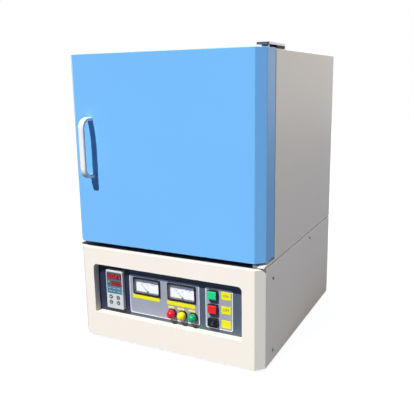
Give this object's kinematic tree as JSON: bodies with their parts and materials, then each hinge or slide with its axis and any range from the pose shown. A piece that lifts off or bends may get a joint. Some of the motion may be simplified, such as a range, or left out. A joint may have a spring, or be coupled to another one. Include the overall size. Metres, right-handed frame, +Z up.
{
  "type": "muffle furnace",
  "caption": "Bench-top muffle furnace: side-hung plug door, fibre-lined chamber with hanging U-shaped heating elements, and a control base with controller, meters, lamps and buttons.",
  "frame": {"origin": "on the floor, under the centre of the furnace's bounding box", "axes": "+X to the right of someone facing the door, +Y from the door to the back, +Z up"},
  "size_m": [0.4844, 0.581, 0.691],
  "materials": {
    "blue_paint": "satin",
    "cream_paint": "satin",
    "dark_blue_paint": "satin",
    "fascia_grey": "matte",
    "white_plastic": "gloss",
    "controller_plastic": "matte",
    "dark_window": "gloss",
    "key_rubber": "matte",
    "black_plastic": "satin",
    "dial_white": "matte",
    "meter_glass": "gloss",
    "needle_black": "matte",
    "lamp_red": "gloss",
    "lamp_yellow": "gloss",
    "lamp_green": "gloss",
    "button_green": "satin",
    "button_red": "satin",
    "bright_steel": "satin",
    "zinc_steel": "satin",
    "black_rubber": "matte",
    "fibre_board": "matte",
    "element_ceramic": "matte",
    "element_metal": "satin",
    "strap_aluminium": "satin",
    "copper": "satin",
    "grey_plastic": "matte"
  },
  "bodies": {
    "cabinet": {"base_shell": "cream_paint", "base_rear_panel": "cream_paint", "outer_shell": "cream_paint", "rear_cover": "cream_paint", "deck_plate": "cream_paint", "recess_tray": "dark_blue_paint", "fascia_panels": "fascia_grey", "controller_case": "controller_plastic", "controller_window": "dark_window", "meter_cases": "black_plastic", "lamp_bodies": "black_plastic", "switch_housings": "black_plastic", "cable_gland": "black_plastic", "fan_frame": "black_plastic", "contactor": "black_plastic", "meter_dials": "dial_white", "meter_windows": "meter_glass", "red_lamp_lens": "lamp_red", "yellow_lamp_lens": "lamp_yellow", "green_lamp_lens": "lamp_green", "side_screws": "bright_steel", "hinge_screws": "bright_steel", "lower_hinge_pin": "bright_steel", "upper_hinge_plate": "bright_steel", "front_frame": "bright_steel", "inner_shell": "bright_steel", "fan_guard": "bright_steel", "catch_magnet": "bright_steel", "base_chassis": "zinc_steel", "transformer_core": "zinc_steel", "thermocouple": "zinc_steel", "rubber_feet": "black_rubber", "seam_gasket": "black_rubber", "hinge_spacer": "black_rubber", "chamber_boards": "fibre_board", "element_plugs": "element_ceramic", "hearth_plate": "element_ceramic", "heating_elements": "element_metal", "element_straps": "strap_aluminium", "heat_sink": "strap_aluminium", "supply_bars": "copper", "transformer_coil": "copper", "thyristor_module": "grey_plastic", "terminal_block": "grey_plastic"},
    "door": {"door_shell": "blue_paint", "door_inner_plate": "bright_steel", "door_insulation": "fibre_board", "door_plug": "fibre_board", "door_seal": "fibre_board", "handle": "white_plastic"},
    "start_button": {"start_button": "button_green"},
    "stop_button": {"stop_button": "button_red"},
    "key_barrel": {"key_barrel": "bright_steel"},
    "voltmeter_needle": {"voltmeter_needle": "needle_black"},
    "ammeter_needle": {"ammeter_needle": "needle_black"},
    "fan_rotor": {"fan_rotor": "black_plastic"},
    "controller_key_1": {"controller_key_1": "key_rubber"},
    "controller_key_2": {"controller_key_2": "key_rubber"},
    "controller_key_3": {"controller_key_3": "key_rubber"},
    "controller_key_4": {"controller_key_4": "key_rubber"}
  },
  "joints": [
    {"name": "door_hinge", "type": "hinge", "parent": "cabinet", "child": "door", "pos_m": [0.228, -0.2165, 0.242], "axis": [0, 0, 1], "range_deg": [0, 135]},
    {"name": "start_button_press", "type": "slide", "parent": "cabinet", "child": "start_button", "axis": [0, 1, 0], "range_m": [0, 0.0025], "stiffness_N_per_m": 600},
    {"name": "stop_button_press", "type": "slide", "parent": "cabinet", "child": "stop_button", "axis": [0, 1, 0], "range_m": [0, 0.0025], "stiffness_N_per_m": 600},
    {"name": "controller_key_1_press", "type": "slide", "parent": "cabinet", "child": "controller_key_1", "axis": [0, 1, 0], "range_m": [0, 0.0008], "stiffness_N_per_m": 800},
    {"name": "controller_key_2_press", "type": "slide", "parent": "cabinet", "child": "controller_key_2", "axis": [0, 1, 0], "range_m": [0, 0.0008], "stiffness_N_per_m": 800},
    {"name": "controller_key_3_press", "type": "slide", "parent": "cabinet", "child": "controller_key_3", "axis": [0, 1, 0], "range_m": [0, 0.0008], "stiffness_N_per_m": 800},
    {"name": "controller_key_4_press", "type": "slide", "parent": "cabinet", "child": "controller_key_4", "axis": [0, 1, 0], "range_m": [0, 0.0008], "stiffness_N_per_m": 800},
    {"name": "key_turn", "type": "hinge", "parent": "cabinet", "child": "key_barrel", "pos_m": [0.11745, -0.236, 0.0938], "axis": [0, 1, 0], "range_deg": [0, 90]},
    {"name": "voltmeter_swing", "type": "hinge", "parent": "cabinet", "child": "voltmeter_needle", "pos_m": [-0.05615, -0.2334, 0.1349], "axis": [0, 1, 0], "range_deg": [0, 90], "stiffness_Nm_per_rad": 0.00005},
    {"name": "ammeter_swing", "type": "hinge", "parent": "cabinet", "child": "ammeter_needle", "pos_m": [0.03715, -0.2334, 0.1349], "axis": [0, 1, 0], "range_deg": [0, 90], "stiffness_Nm_per_rad": 0.00005},
    {"name": "fan_spin", "type": "hinge", "parent": "cabinet", "child": "fan_rotor", "pos_m": [0, 0.2435, 0.5895], "axis": [0, 1, 0], "continuous": true}
  ]
}
